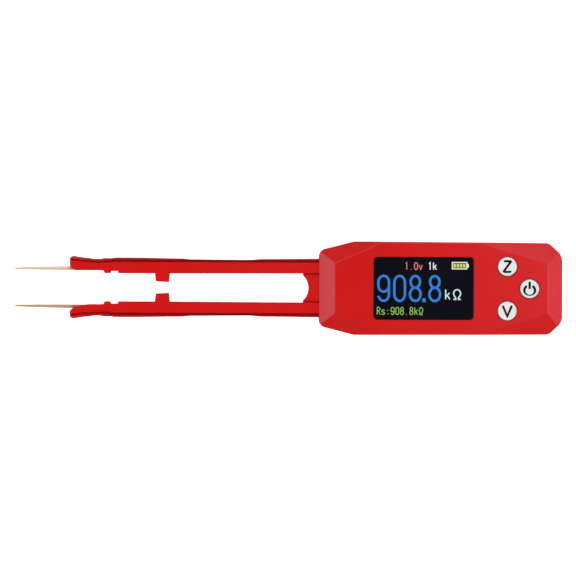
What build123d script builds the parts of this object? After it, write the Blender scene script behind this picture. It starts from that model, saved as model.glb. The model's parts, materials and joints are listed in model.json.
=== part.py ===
from build123d import *
import os
from math import asin, atan2, cos, degrees, radians, sin

# Tweezer-style component tester: a faceted hand body with a colour display and three push buttons,
# and two sprung arms that end in gilded probe needles.
# Millimetres. +X runs to the rear of the body, the needles point to -X, the display faces +Z.
# The origin is under the middle of the bounding box, on the flat underside.
# "right" is the +Y arm and "left" the -Y arm, as seen by the hand that holds the body.

# ---------------------------------------------------------------- overall
TIP_X = -71.5               # needle points
REAR_X = 71.5               # rear end of the body
BODY_H = 15.0               # body thickness, underside to display face
MID_Z = BODY_H / 2          # parting plane and arm centre height
WALL = 1.6                  # shell wall
GAP = 0.05                  # assembly clearance between still pieces

# ---------------------------------------------------------------- faceted body
FRONT_X = 8.0               # front end of the body
# half outline of the body, front to rear: (x, half width, rounding of that upright corner)
HALF_OUTLINE = [(FRONT_X, 9.85, 2.0), (17.1, 12.18, 2.0), (68.0, 11.95, 2.1), (REAR_X, 8.6, 3.5)]
# facets that fall away from the flat face: (x, y of a point on the crease, heading, tilt), degrees
FACETS = [
    (12.25, 0.0, 180.0, 43.6),
    (12.25, 6.5, 113.5, 40.0),
    (67.7, 0.0, 0.0, 46.5),
    (67.7, 6.6, 73.8, 37.9),
]
EDGE_R = 0.45               # soft rounding of the creases
SEAM_GROOVE = 0.16          # depth and height of the groove round the parting line
LIP_H = 0.8                 # tongue on the lower shell that locates the upper one
LIP_INSET = 0.9             # from the outside of the body to the tongue
LIP_GAP = 0.1
CLAMP_RIB_X = (11.0, 12.2)  # ribs in both shells that clamp the arm roots
CLAMP_RIB_HALF = 7.0

# ---------------------------------------------------------------- display
DISPLAY_X = 35.25           # middle of the window
WINDOW = (26.05, 16.3)      # window length and width
WINDOW_R = 1.1
WINDOW_T = 0.95
WINDOW_RECESS = 0.08        # the window sits this far below the face
LEDGE = 0.5                 # width of the ledge that carries the window
PANEL = (31.0, 17.6, 0.8)   # display cell
PANEL_FRONT_X = 21.9
BACKLIGHT_T = 1.2
GASKET_T = 0.4
BACKLIGHT_RIM = 0.2         # how far it reaches past the cell at both ends
GASKET_RIM = 0.6            # width of the gasket outside the window
RIBBON_T = 0.15
RIBBON_W = 8.0
RIBBON_LIFT = 0.2           # from the cell's underside to the ribbon, and from its end to the fold
RIBBON_END_X = 46.0
CONNECTOR = (2.4, 11.0, 1.0)

# ---------------------------------------------------------------- buttons
BUTTONS = {"z": (57.0, 5.77), "v": (57.0, -5.77), "power": (62.8, 0.0)}
BUTTON_R = 2.45
BUTTON_GAP = 0.2            # radial gap to the shell
BUTTON_PROUD = 0.45         # height of the cap above the face
BUTTON_TRAVEL = 0.3
BUTTON_ROUND = 0.3          # rounding of the cap's upper edge
FLANGE_R = 3.2
FLANGE_T = 0.6
STEM_R = 1.2
SWITCH = (3.6, 3.6, 1.8)
PLUNGER_R = 0.9
PLUNGER_TOP_Z = 11.5
PLUNGER_LENGTH = 1.3
PLUNGER_GAP = (0.15, 0.2)   # round the plunger, and below it at full travel
FLANGE_DROP = 0.2           # from the inside of the shell to the flange

# ---------------------------------------------------------------- electronics
BOARD_T = 1.0
BOARD_Z = 8.0               # underside of the board
BOARD_INSET = 2.3           # board edge to the outside of the body
BOARD_FRONT_X = 20.5
BOARD_POSTS = [(23.6, 9.1), (23.6, -9.1), (59.6, 9.1), (59.6, -9.1)]
BOARD_POST_R = 1.0
CONTROLLER = (28.0, 0.0, 7.0, 7.0, 1.4)  # x, y, length, width, height, as for all parts on the board
CHIPS = [                   # measuring amplifier, memory and charger
    (35.0, 3.6, 4.9, 3.9, 1.2),
    (35.0, -3.6, 4.9, 3.9, 1.2),
    (51.0, 7.6, 3.0, 3.0, 1.2),
]
CRYSTAL = (28.0, 6.4, 3.2, 2.5, 0.8)
CRYSTAL_R = 0.4
PASSIVE = (1.6, 0.8, 0.6)   # length, width, height
PASSIVE_X = (25.8, 2.2, 6)  # first one, pitch, how many in a row
PASSIVE_ROWS = (-7.8, -6.4)
BATTERY = (33.0, 16.0, 4.8)
BATTERY_X = 41.5
BATTERY_Z = 2.0
BATTERY_ROUND = 1.2
BATTERY_PAD = (26.0, 12.0)
HEADER = (3.2, 3.8)         # battery header under the board, and the plug that sits on it
PLUG = (2.8, 3.4)
PLUG_X = 61.6
PLUG_Z = (5.2, 6.6)
LEAD_R = 0.4
LEAD_Y = 0.65
LEAD_Z = 3.2
LEAD_BEND = 1.4
USB = (7.0, 8.94, 3.26)     # receptacle length, width, height
USB_R = 1.2
USB_REAR_X = 71.2
USB_SHEET = 0.3
USB_BACK = 1.2              # closed front part of the receptacle
USB_TONGUE = (4.6, 6.6, 0.7)
USB_CLEARANCE = 0.28        # round the receptacle, in the wall

# ---------------------------------------------------------------- fastenings
SCREW_SPOTS = [(16.0, 9.0), (16.0, -9.0), (63.5, 8.9), (63.5, -8.9)]
SCREW_SEAT_Z = 3.2
SCREW_END_Z = 11.5
SCREW_R = 0.8
HEAD_R = 1.5
HEAD_T = 1.0
BOSS_R = 1.7
THREAD_GAP = 0.02           # screw to the plastic it is cut into
HOLE_GAP = 0.1              # screw to a clearance hole
HEAD_GAP = 0.15
DRIVE = (1.0, 0.2, 0.5)     # cross recess: half length, half width, depth
ARM_SCREW_X = [12.5, 16.5]
ARM_SCREW_END_Y = 1.8
ARM_HEAD_R = 1.2
ARM_HEAD_T = 0.7

# ---------------------------------------------------------------- arms (+Y arm, the other is its mirror)
ARM_INNER = 3.85            # inner face at the body
ARM_INNER_PIVOT = 3.72      # inner face at the bending zone
ARM_INNER_END = 3.67        # inner face at the front
ARM_OUTER = (7.65, 7.52)    # outer face at the body and just behind the bending zone
WAIST_OUTER = (7.38, 7.27)  # outer face in the bending zone, front and rear
PIVOT_OUTER = 7.32          # outer face at the pivot
FRONT_OUTER = (7.59, 7.77)  # outer face just in front of the bending zone and from FULL_X on
FULL_X = -41.0
SEAM = 6.6                  # inner core meets outer cover here
BEVEL_Y = 7.0               # the cover's bevels start here
ARM_H = 6.8                 # arm height at the body
ARM_H_END = 5.2             # arm height at the nose
ARM_DEPTH = 12.0            # deep enough for every arm outline
TAPER_START_X = -26.0
ARM_OPENING_X = (6.0, 10.7) # the opening in the front wall that the arms pass through
TAB_X = 19.0                # rear end of the tab inside the body
COVER_END_X = 9.55          # the cover ends inside the shell wall
WAIST_X = (-25.6, -9.9)     # bending zone, front and rear ends
WAIST_RAMP = (-27.5, -6.8)  # where the ramps on both sides of it end
PIVOT_X = -17.9             # middle of the bending zone
PIVOT_Y = 5.5
HINGE_GAP = 0.2             # half the gap that the bend closes
NOTCH_X = (-46.4, -44.4)
NOTCH_Y = 4.25
DIP_X = -45.6               # shallow dip in the cover just behind the nose
DIP_DEPTH = 0.22
GROOVE = (5.2, 2.8)         # groove floor (y) and height, for the conductor
PEG_ROOT_X = (-34.8, -31.0)
PEG_TIP_X = (-34.55, -31.2)
PEG_TIP_Y = (1.57, 1.39)    # half gap at the front and rear of the peg
CONDUCTOR = (0.4, 2.4)      # thickness and height
CONDUCTOR_Y = 5.4
BEND_X = (-20.4, -15.4)     # the part of the conductor that flexes
CONDUCTOR_STEP_X = (11.0, 19.2, 22.4)  # it narrows below the screws, then widens up to the board

# ---------------------------------------------------------------- probes
NOSE_END_X = -57.05
NOSE_INNER = 4.42
NOSE_CHAMFER = (1.2, 0.9)   # length and height of the slope at the end, above and below
NOSE_END_Y = (5.2, 5.9, 7.2)  # corners of the end, from the inner side outwards
NOSE_END_STEP = (1.6, 0.4)  # how far behind the end the first two of its corners are
COLLAR_RAMP = (0.6, 0.5)    # slopes in front of the collar, inner and outer side
NOSE_WAIST = (-49.9, 7.4)
NOSE_FLARE = (-55.8, 8.14)
COLLAR_X = (-48.1, -46.4)
COLLAR_INNER = 3.67
COLLAR_OUTER = 7.6
TONGUE_END_X = -43.0
NEEDLE_ROOT_X = -56.6
NEEDLE_ROOT_Y = (4.5, 5.45)
NEEDLE_TIP_Y = (4.65, 5.05)
NEEDLE_ROOT_H = 2.4
NEEDLE_TIP_H = 0.8
NEEDLE_SEAT_X = -52.7
NEEDLE_STEP_X = (-51.9, -50.6, -50.4, -50.2)  # where the blade narrows to the pin
PIN_Y = (5.55, 6.05)
PIN_H = 1.0
PIN_END_X = -40.4
CONTACT_X = (-42.9, -38.6)
CONTACT_WALL = 0.2
CONTACT_GAP = 0.02          # between the sleeve and the pin
TIP_HALF_GAP_CLOSED = 0.1   # what is left between a tip and the middle plane when squeezed

# ---------------------------------------------------------------- yoke between the arms
YOKE_OUTER_HALF = 3.4       # visible web
YOKE_INNER_HALF = 3.8       # inside the body
YOKE_STEP = 0.6             # height of the rebate beside each arm root
YOKE_HORN_X = 3.85
YOKE_HOLLOW_X = 5.3
YOKE_RIM_Y = 3.25


# ================================================================ helpers
def block(x0, x1, y0, y1, z0, z1):
    """Box between two corners."""
    size = (x1 - x0, y1 - y0, z1 - z0)
    return Pos((x0 + x1) / 2, (y0 + y1) / 2, (z0 + z1) / 2) * Box(*size)


def post(x, y, z0, z1, radius):
    """Upright round post."""
    return Pos(x, y, (z0 + z1) / 2) * Cylinder(radius, z1 - z0)


def plan_solid(points, z0, z1):
    """Outline in plan, raised from z0 to z1."""
    return Pos(0, 0, z0) * extrude(Polygon(*points, align=None), z1 - z0, dir=(0, 0, 1))


def side_solid(points, y0, y1):
    """Side-view outline of (x, z) points, running from y0 to y1."""
    face = Plane.XZ * Polygon(*points, align=None)
    return Pos(0, y0, 0) * extrude(face, y1 - y0, dir=(0, 1, 0))


def rounded_slab(x, y, length, width, radius, z0, z1):
    """Slab with rounded upright corners."""
    return Pos(x, y, z0) * extrude(RectangleRounded(length, width, radius), z1 - z0)


def cross_post(x, y0, y1, z, radius):
    """Round bar along Y."""
    return Pos(x, (y0 + y1) / 2, z) * Rot(90, 0, 0) * Cylinder(radius, y1 - y0)


def other_side(shape):
    """The same piece on the -Y side."""
    return mirror(shape, about=Plane.XZ)


# ================================================================ faceted body form
def outline_face(inset):
    """Plan outline of the body, moved inwards."""
    half = [(x, y) for x, y, _ in HALF_OUTLINE]
    points = half + [(x, -y) for x, y in reversed(half)]
    face = Polygon(*points, align=None)
    if inset:
        face = offset(face, -inset, kind=Kind.INTERSECTION)
    return face


def outline_prism(inset, z0, z1):
    return Pos(0, 0, z0) * extrude(outline_face(inset), z1 - z0, dir=(0, 0, 1))


def facet_planes(inset):
    """Planes of all the facets, above and below, moved inwards."""
    planes = []
    for x, y, heading, tilt in FACETS:
        sides = (1, -1) if y else (1,)
        for side in sides:
            for up in (1, -1):
                across = sin(radians(tilt))
                normal = Vector(
                    cos(radians(heading)) * across,
                    side * sin(radians(heading)) * across,
                    up * cos(radians(tilt)),
                )
                crease = Vector(x, side * y, MID_Z + up * MID_Z)
                planes.append(Plane(origin=crease - normal * inset, z_dir=normal))
    return planes


def gem(inset=0.0):
    """The faceted body as one solid; an inset gives the cavity inside it."""
    form = outline_prism(inset, inset, BODY_H - inset)
    if not inset:
        for x, y, radius in HALF_OUTLINE:
            upright = [
                e for e in form.edges().filter_by(Axis.Z)
                if abs(e.center().X - x) < 0.01 and abs(abs(e.center().Y) - y) < 0.01
            ]
            form = fillet(upright, radius)
    for plane in facet_planes(inset):
        form -= plane * Box(200, 200, 20, align=(Align.CENTER, Align.CENTER, Align.MIN))
    if not inset:
        creases = [e for e in form.edges() if abs(e.center().Z - MID_Z) > 1.0]
        form = fillet(creases, EDGE_R)
    return form


# ================================================================ casing
def arm_opening():
    """The slot in the front wall that the yoke and both arm roots pass through."""
    half = ARM_OUTER[0] + GAP
    rise = ARM_H / 2 + GAP
    return block(*ARM_OPENING_X, -half, half, MID_Z - rise, MID_Z + rise)


def usb_opening():
    size = (USB[1] + 2 * USB_CLEARANCE, USB[2] + 2 * USB_CLEARANCE)
    face = Plane.YZ * RectangleRounded(*size, USB_R + USB_CLEARANCE)
    return Pos(REAR_X - 3.0, 0, BOARD_Z - USB[2] / 2) * extrude(face, 5.0, dir=(1, 0, 0))


def bosses(z0, z1):
    form = [post(x, y, z0, z1, BOSS_R) for x, y in SCREW_SPOTS]
    return Part() + form


def casing():
    """Upper and lower shell."""
    solid = gem()
    hollow = gem(WALL)
    shell = solid - hollow
    below = block(0, 80, -20, 20, -1, MID_Z)
    above = block(0, 80, -20, 20, MID_Z, BODY_H + 1)
    upper = shell & above
    lower = shell & below

    # screw bosses, clamping ribs for the arm roots, and board posts
    rib_y = (-CLAMP_RIB_HALF, CLAMP_RIB_HALF)
    rib_z = MID_Z - ARM_H / 2 - GAP
    upper += bosses(MID_Z, BODY_H) & solid
    upper += block(*CLAMP_RIB_X, *rib_y, BODY_H - rib_z, BODY_H - WALL / 2) & solid
    lower += bosses(0, MID_Z) & solid
    lower += block(*CLAMP_RIB_X, *rib_y, WALL / 2, rib_z) & solid
    for x, y in BOARD_POSTS:
        lower += post(x, y, WALL / 2, BOARD_Z, BOARD_POST_R)

    # tongue and groove along the parting line
    tongue = outline_prism(LIP_INSET, MID_Z, MID_Z + LIP_H)
    tongue -= outline_prism(WALL, MID_Z, MID_Z + LIP_H)
    groove = outline_prism(LIP_INSET - LIP_GAP, MID_Z, MID_Z + LIP_H + LIP_GAP)
    groove -= outline_prism(WALL + LIP_GAP, MID_Z, MID_Z + LIP_H + LIP_GAP)
    keep_clear = Part() + [post(x, y, MID_Z, BODY_H, BOSS_R + LIP_GAP) for x, y in SCREW_SPOTS]
    lower += tongue - keep_clear
    upper -= groove - (Part() + [post(x, y, MID_Z, BODY_H, BOSS_R) for x, y in SCREW_SPOTS])

    # openings, and the fine groove round the parting line
    band = outline_prism(-1.0, MID_Z - SEAM_GROOVE / 2, MID_Z + SEAM_GROOVE / 2)
    band -= outline_prism(SEAM_GROOVE, 0, BODY_H)
    for cut in (arm_opening(), usb_opening(), band):
        upper -= cut
        lower -= cut
    length, width = WINDOW
    seat_z = BODY_H - WINDOW_RECESS - WINDOW_T
    under_wall = BODY_H - 2 * WALL
    upper -= rounded_slab(
        DISPLAY_X, 0, length + 2 * GAP, width + 2 * GAP, WINDOW_R + GAP, seat_z, BODY_H + 1)
    upper -= rounded_slab(
        DISPLAY_X, 0, length - 2 * LEDGE, width - 2 * LEDGE, WINDOW_R, under_wall, BODY_H)
    for x, y in BUTTONS.values():
        upper -= post(x, y, under_wall, BODY_H + 1, BUTTON_R + BUTTON_GAP)
    for x, y in SCREW_SPOTS:
        upper -= post(x, y, MID_Z - 1, SCREW_END_Z, SCREW_R + THREAD_GAP)
        lower -= post(x, y, -1, MID_Z + 1, SCREW_R + HOLE_GAP)
        lower -= post(x, y, -1, SCREW_SEAT_Z, HEAD_R + HEAD_GAP)
    return {"top_shell": upper, "bottom_shell": lower}


def shell_screws():
    """Pan-head screws driven from below."""
    screws = []
    for x, y in SCREW_SPOTS:
        screw = post(x, y, SCREW_SEAT_Z - HEAD_T, SCREW_SEAT_Z, HEAD_R)
        screw += post(x, y, SCREW_SEAT_Z, SCREW_END_Z - 0.3, SCREW_R)
        reach, half, depth = DRIVE
        depth_z = SCREW_SEAT_Z - HEAD_T + depth
        screw -= block(x - reach, x + reach, y - half, y + half, 0, depth_z)
        screw -= block(x - half, x + half, y - reach, y + reach, 0, depth_z)
        screws.append(screw)
    return screws


# ================================================================ display stack
def display():
    length, width = WINDOW
    window_z = BODY_H - WINDOW_RECESS - WINDOW_T
    window = rounded_slab(DISPLAY_X, 0, length, width, WINDOW_R, window_z, window_z + WINDOW_T)

    gasket_z = BODY_H - WALL - GASKET_T
    gasket = rounded_slab(
        DISPLAY_X, 0, length + 2 * GASKET_RIM, width + 2 * GASKET_RIM, WINDOW_R,
        gasket_z, gasket_z + GASKET_T)
    gasket -= rounded_slab(
        DISPLAY_X, 0, length - 2 * LEDGE, width - 2 * LEDGE, WINDOW_R, gasket_z - 1, BODY_H)

    panel_rear = PANEL_FRONT_X + PANEL[0]
    half = PANEL[1] / 2
    panel_z = gasket_z - PANEL[2]
    panel = block(PANEL_FRONT_X, panel_rear, -half, half, panel_z, gasket_z)
    light_z = panel_z - BACKLIGHT_T
    backlight = block(
        PANEL_FRONT_X - BACKLIGHT_RIM, panel_rear + BACKLIGHT_RIM, -half, half, light_z, panel_z)

    # ribbon: leaves the rear end of the cell, folds down and runs forward along the board
    board_top = BOARD_Z + BOARD_T
    start_z = panel_z + RIBBON_LIFT
    fold_x = panel_rear + RIBBON_LIFT
    outer_r = (start_z + RIBBON_T - board_top) / 2
    centre_z = board_top + outer_r
    y0 = -RIBBON_W / 2
    y1 = RIBBON_W / 2
    fold = cross_post(fold_x, y0, y1, centre_z, outer_r)
    fold -= cross_post(fold_x, y0 - 1, y1 + 1, centre_z, outer_r - RIBBON_T)
    fold &= block(fold_x, fold_x + outer_r, y0, y1, 0, BODY_H)
    ribbon = fold + block(panel_rear, fold_x, y0, y1, start_z, start_z + RIBBON_T)
    ribbon += block(RIBBON_END_X, fold_x, y0, y1, board_top, board_top + RIBBON_T)
    connector = block(
        RIBBON_END_X - CONNECTOR[0], RIBBON_END_X, -CONNECTOR[1] / 2, CONNECTOR[1] / 2,
        board_top, board_top + CONNECTOR[2])
    return {
        "display_window": window,
        "display_gasket": gasket,
        "display_cell": panel,
        "display_backlight": backlight,
        "display_ribbon": ribbon,
        "display_connector": connector,
    }


# ================================================================ buttons and switches
def buttons():
    """Caps, the plungers they push, and the switch bodies on the board."""
    board_top = BOARD_Z + BOARD_T
    flange_z = BODY_H - WALL - FLANGE_DROP - FLANGE_T
    pieces = {}
    bases = []
    for name, (x, y) in BUTTONS.items():
        cap = post(x, y, flange_z, BODY_H + BUTTON_PROUD, BUTTON_R)
        cap = fillet(cap.edges().sort_by(Axis.Z)[-1], BUTTON_ROUND)
        cap += post(x, y, flange_z, flange_z + FLANGE_T, FLANGE_R)
        cap += post(x, y, PLUNGER_TOP_Z, flange_z, STEM_R)
        pieces["button_" + name] = cap
        pieces["plunger_" + name] = post(
            x, y, PLUNGER_TOP_Z - PLUNGER_LENGTH, PLUNGER_TOP_Z, PLUNGER_R)
        half = SWITCH[0] / 2
        base = block(x - half, x + half, y - half, y + half, board_top, board_top + SWITCH[2])
        well_z = PLUNGER_TOP_Z - PLUNGER_LENGTH - BUTTON_TRAVEL - PLUNGER_GAP[1]
        base -= post(x, y, well_z, board_top + SWITCH[2] + 1, PLUNGER_R + PLUNGER_GAP[0])
        bases.append(base)
    pieces["switch_bases"] = bases
    return pieces


# ================================================================ electronics
def on_board(part):
    """Rectangular part on the upper face of the board."""
    x, y, length, width, height = part
    top = BOARD_Z + BOARD_T
    return block(x - length / 2, x + length / 2, y - width / 2, y + width / 2, top, top + height)


def electronics():
    top = BOARD_Z + BOARD_T
    board = outline_prism(BOARD_INSET, BOARD_Z, top) & block(
        BOARD_FRONT_X, REAR_X, -20, 20, 0, BODY_H)
    for x, y in SCREW_SPOTS:
        board -= post(x, y, 0, BODY_H, BOSS_R + 0.3)

    x, y, length, width, height = CRYSTAL
    crystal = rounded_slab(x, y, length, width, CRYSTAL_R, top, top + height)
    first_x, pitch, count = PASSIVE_X
    passives = [
        on_board((first_x + pitch * column, row_y, *PASSIVE))
        for column in range(count)
        for row_y in PASSIVE_ROWS
    ]

    half_x, half_y = BATTERY[0] / 2, BATTERY[1] / 2
    cell = block(
        BATTERY_X - half_x, BATTERY_X + half_x, -half_y, half_y,
        BATTERY_Z, BATTERY_Z + BATTERY[2])
    cell = fillet(cell.edges().filter_by(Axis.X), BATTERY_ROUND)
    pad_x, pad_y = BATTERY_PAD[0] / 2, BATTERY_PAD[1] / 2
    pad = block(BATTERY_X - pad_x, BATTERY_X + pad_x, -pad_y, pad_y, WALL, BATTERY_Z)

    # battery plug and its header hang under the board, and two short leads reach them
    plug_z, header_z = PLUG_Z
    header_x, header_y = HEADER[0] / 2, HEADER[1] / 2
    plug_x, plug_y = PLUG[0] / 2, PLUG[1] / 2
    header = block(PLUG_X - header_x, PLUG_X + header_x, -header_y, header_y, header_z, BOARD_Z)
    plug = block(PLUG_X - plug_x, PLUG_X + plug_x, -plug_y, plug_y, plug_z, header_z)
    leads = []
    for y in (-LEAD_Y, LEAD_Y):
        start = (BATTERY_X + half_x, y, LEAD_Z)
        path = FilletPolyline(start, (PLUG_X, y, LEAD_Z), (PLUG_X, y, plug_z), radius=LEAD_BEND)
        section = Plane(origin=start, z_dir=(1, 0, 0)) * Circle(LEAD_R)
        leads.append(sweep(section, path=path))

    usb_front = USB_REAR_X - USB[0]
    usb_z = BOARD_Z - USB[2] / 2
    outer = Plane.YZ * RectangleRounded(USB[1], USB[2], USB_R)
    inner = Plane.YZ * RectangleRounded(
        USB[1] - 2 * USB_SHEET, USB[2] - 2 * USB_SHEET, USB_R - USB_SHEET)
    usb_shell = Pos(usb_front, 0, usb_z) * extrude(outer, USB[0], dir=(1, 0, 0))
    usb_shell -= Pos(usb_front + USB_BACK, 0, usb_z) * extrude(inner, USB[0], dir=(1, 0, 0))
    tongue = block(
        usb_front + USB_BACK, usb_front + USB_BACK + USB_TONGUE[0],
        -USB_TONGUE[1] / 2, USB_TONGUE[1] / 2,
        usb_z - USB_TONGUE[2] / 2, usb_z + USB_TONGUE[2] / 2)
    return {
        "circuit_board": board,
        "controller_chip": on_board(CONTROLLER),
        "small_chips": [on_board(part) for part in CHIPS],
        "crystal": crystal,
        "board_passives": passives,
        "battery_cell": cell,
        "battery_pad": pad,
        "battery_header": header,
        "battery_plug": plug,
        "battery_leads": leads,
        "usb_shell": usb_shell,
        "usb_tongue": tongue,
    }


# ================================================================ arms
def arm_side_profile():
    """Side view of a whole arm with its nose: straight at the rear, thinner to the front."""
    rear = ARM_H / 2
    front = ARM_H_END / 2
    upper = [
        (TAB_X, rear), (TAPER_START_X, rear), (NOSE_END_X + NOSE_CHAMFER[0], front),
        (NOSE_END_X, front - NOSE_CHAMFER[1])]
    points = [(x, MID_Z + z) for x, z in upper] + [(x, MID_Z - z) for x, z in reversed(upper)]
    return side_solid(points, 0.0, ARM_DEPTH)


def conductor_groove(x0, x1):
    floor_y, height = GROOVE
    return block(x0, x1, floor_y, SEAM + 0.01, MID_Z - height / 2, MID_Z + height / 2)


def arm_plan(points):
    """A piece of the arm from its outline in plan, trimmed to the side profile."""
    return plan_solid(points, 0, BODY_H) & arm_side_profile()


def arm_cover(points):
    """Outer cover, its long edges bevelled along the straight and the tapered stretch."""
    cover = arm_plan(points)
    drop = (ARM_H - ARM_H_END) / 2
    taper = atan2(drop, TAPER_START_X - (NOSE_END_X + NOSE_CHAMFER[0]))
    for lean in (0.0, taper):
        for up in (1, -1):
            edge = Vector(TAPER_START_X, BEVEL_Y, MID_Z + up * ARM_H / 2)
            normal = Vector(-sin(lean), 1, up * cos(lean))
            corner = Plane(origin=edge, z_dir=normal)
            cover -= corner * Box(120, 120, 5, align=(Align.CENTER, Align.CENTER, Align.MIN))
    return cover


def arm_root():
    """Still part of the arm: from the tab inside the body to the bend."""
    end = PIVOT_X + HINGE_GAP
    core = arm_plan([
        (TAB_X, ARM_INNER), (TAB_X, SEAM), (end, SEAM), (end, ARM_INNER_PIVOT), (FRONT_X, ARM_INNER)])
    core -= conductor_groove(end - 1, TAB_X + 1)
    cover = arm_cover([
        (COVER_END_X, SEAM), (COVER_END_X, ARM_OUTER[0]), (WAIST_RAMP[1], ARM_OUTER[1]),
        (WAIST_X[1], WAIST_OUTER[1]), (end, PIVOT_OUTER), (end, SEAM)])
    for x in ARM_SCREW_X:
        core -= cross_post(x, 0, SEAM + 1, MID_Z, SCREW_R + HOLE_GAP / 2)
    return core, cover


def arm_front():
    """Moving part of the arm, from the bend to the notch in front of the nose."""
    start = PIVOT_X - HINGE_GAP
    core = arm_plan([
        (start, ARM_INNER_PIVOT), (start, SEAM), (NOTCH_X[0], SEAM), (NOTCH_X[0], NOTCH_Y),
        (NOTCH_X[1], NOTCH_Y), (NOTCH_X[1], ARM_INNER_END), (PEG_ROOT_X[0], ARM_INNER_END),
        (PEG_TIP_X[0], PEG_TIP_Y[0]), (PEG_TIP_X[1], PEG_TIP_Y[1]), (PEG_ROOT_X[1], ARM_INNER_END)])
    core -= conductor_groove(NOTCH_X[0] - 1, start + 1)
    cover = arm_cover([
        (start, SEAM), (start, PIVOT_OUTER), (WAIST_X[0], WAIST_OUTER[0]),
        (WAIST_RAMP[0], FRONT_OUTER[0]), (FULL_X, FRONT_OUTER[1]), (NOTCH_X[0], FRONT_OUTER[1]),
        (NOTCH_X[0], SEAM)])
    cover -= block(NOTCH_X[0], DIP_X, FRONT_OUTER[1] - DIP_DEPTH, ARM_DEPTH, 0, BODY_H)
    return core, cover


def conductors():
    """Flat conductor inside the arm, in three lengths: still, bending and moving."""
    thickness, height = CONDUCTOR
    y0, y1 = CONDUCTOR_Y, CONDUCTOR_Y + thickness
    z0, z1 = MID_Z - height / 2, MID_Z + height / 2
    # round the two screws, the still length narrows to a strip below them
    narrow_z = MID_Z - SCREW_R - HOLE_GAP
    narrow_x, board_x, end_x = CONDUCTOR_STEP_X
    still = block(BEND_X[1], narrow_x, y0, y1, z0, z1)
    still += block(narrow_x, board_x, y0, y1, z0, narrow_z)
    still += block(board_x, end_x, y0, y1, z0, BOARD_Z)
    bending = block(BEND_X[0], BEND_X[1], y0, y1, z0, z1)
    moving = block(CONTACT_X[1], BEND_X[0], y0, y1, z0, z1)
    return still, bending, moving


def needle():
    """Gilded blade: flat outside the nose, a thin pin inside it."""
    in0, in1 = NEEDLE_ROOT_Y
    tip0, tip1 = NEEDLE_TIP_Y
    pin0, pin1 = PIN_Y
    start_x, outer_x, side_x, inner_x = NEEDLE_STEP_X
    plan = [
        (TIP_X, tip0), (TIP_X, tip1), (NEEDLE_ROOT_X, in1), (NEEDLE_SEAT_X, in1), (outer_x, pin1),
        (PIN_END_X, pin1), (PIN_END_X, pin0), (inner_x, pin0), (start_x, in0), (NEEDLE_ROOT_X, in0)]
    upper = [
        (TIP_X, NEEDLE_TIP_H), (NOSE_END_X, NEEDLE_ROOT_H), (NEEDLE_SEAT_X, NEEDLE_ROOT_H),
        (side_x, PIN_H), (PIN_END_X, PIN_H)]
    side = [(x, MID_Z + h / 2) for x, h in upper] + [(x, MID_Z - h / 2) for x, h in reversed(upper)]
    return plan_solid(plan, 0, BODY_H) & side_solid(side, 0.0, ARM_DEPTH)


def probe_contact():
    """Spring sleeve in the arm that grips the needle's pin."""
    x0, x1 = CONTACT_X
    y0, y1 = PIN_Y
    z0, z1 = MID_Z - PIN_H / 2, MID_Z + PIN_H / 2
    gap = CONTACT_GAP
    grow = CONTACT_WALL + gap
    sleeve = block(x0, x1, y0 - grow, y1 + grow, z0 - grow, z1 + grow)
    sleeve -= block(x0 - 1, PIN_END_X + CONTACT_WALL, y0 - gap, y1 + gap, z0 - gap, z1 + gap)
    return sleeve


def nose(blade):
    """Plug-in nose with a collar, a waist and a flared end; its tongue enters the arm."""
    end_x = NOSE_END_X
    side_y, bevel_y, flat_y = NOSE_END_Y
    inner_step, outer_step = NOSE_END_STEP
    collar_x = COLLAR_X[0]
    outline = [
        Polyline(
            (COLLAR_X[1], COLLAR_INNER), (collar_x, COLLAR_INNER),
            (collar_x - COLLAR_RAMP[0], NOSE_INNER), (end_x + inner_step, NOSE_INNER),
            (end_x + outer_step, side_y), (end_x, bevel_y), (end_x, flat_y)),
        Spline((end_x, flat_y), NOSE_FLARE, NOSE_WAIST, tangents=[(0, 1), (1, 0)]),
        Polyline(
            NOSE_WAIST, (collar_x - COLLAR_RAMP[1], COLLAR_OUTER - 0.1), (collar_x, COLLAR_OUTER),
            (COLLAR_X[1], COLLAR_OUTER), (COLLAR_X[1], COLLAR_INNER)),
    ]
    face = make_face(Wire([e for line in outline for e in line.edges()]).edges())
    body = extrude(face, BODY_H, dir=(0, 0, 1)) & arm_side_profile()
    tongue_half = GROOVE[1] / 2 - GAP
    body += block(
        COLLAR_X[1], TONGUE_END_X, GROOVE[0] + GAP, SEAM - GAP,
        MID_Z - tongue_half, MID_Z + tongue_half)
    return body - blade


def yoke():
    """Block between the arm roots: clamped in the body, hollowed to an arc where it shows."""
    z0, z1 = MID_Z - ARM_H / 2, MID_Z + ARM_H / 2
    depth = YOKE_HOLLOW_X - YOKE_HORN_X
    hollow_r = (YOKE_RIM_Y ** 2 + depth ** 2) / (2 * depth)
    web = block(YOKE_HORN_X, FRONT_X, -YOKE_OUTER_HALF, YOKE_OUTER_HALF, z0, z1)
    web += block(
        YOKE_HORN_X, FRONT_X, -YOKE_INNER_HALF, YOKE_INNER_HALF, z0 + YOKE_STEP, z1 - YOKE_STEP)
    web -= post(YOKE_HOLLOW_X - hollow_r, 0, z0 - 1, z1 + 1, hollow_r)
    web += block(FRONT_X, TAB_X, -YOKE_INNER_HALF, YOKE_INNER_HALF, z0, z1)
    for x in ARM_SCREW_X:
        thread = cross_post(x, ARM_SCREW_END_Y, ARM_INNER + 1, MID_Z, SCREW_R + THREAD_GAP)
        web -= thread
        web -= other_side(thread)
    return web


def arm_screws():
    """Screws that pull both arm roots against the yoke."""
    screws = []
    for x in ARM_SCREW_X:
        screw = cross_post(x, SEAM, SEAM + ARM_HEAD_T, MID_Z, ARM_HEAD_R)
        screw += cross_post(x, ARM_SCREW_END_Y + HOLE_GAP, SEAM, MID_Z, SCREW_R)
        screws += [screw, other_side(screw)]
    return screws


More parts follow.
